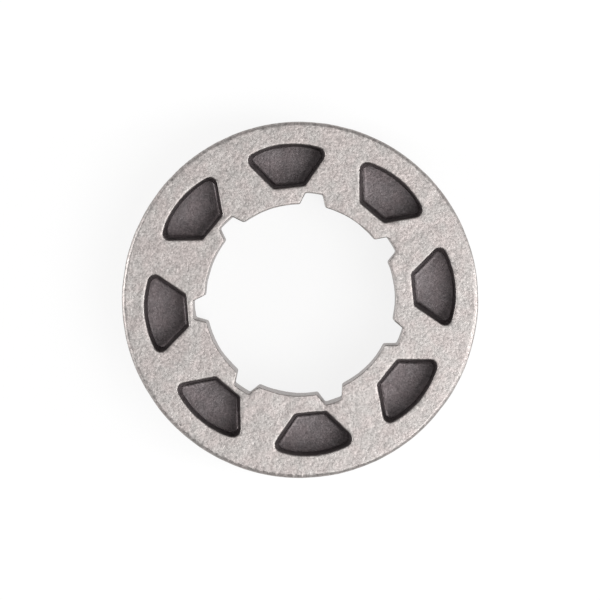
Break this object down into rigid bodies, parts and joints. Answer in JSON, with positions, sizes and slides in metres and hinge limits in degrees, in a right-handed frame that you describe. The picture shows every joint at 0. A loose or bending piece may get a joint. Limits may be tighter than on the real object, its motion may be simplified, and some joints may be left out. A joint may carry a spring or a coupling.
{
  "type": "chainsaw rim sprocket",
  "caption": "Flat steel ring that drives a saw chain, with a splined bore, a slot round its edge and wedge-shaped windows in one face.",
  "frame": {"origin": "centre of the bore on the closed face, the face without windows", "axes": "+Z along the bore to the face with the windows, +X through the gullet that lines up with a spline groove"},
  "size_m": [0.0414, 0.0414, 0.012],
  "materials": {
    "cast_steel": "matt, fine-grained cast steel, darker in the gullets"
  },
  "bodies": {
    "root": {"rim_sprocket": "cast_steel"}
  },
  "joints": []
}
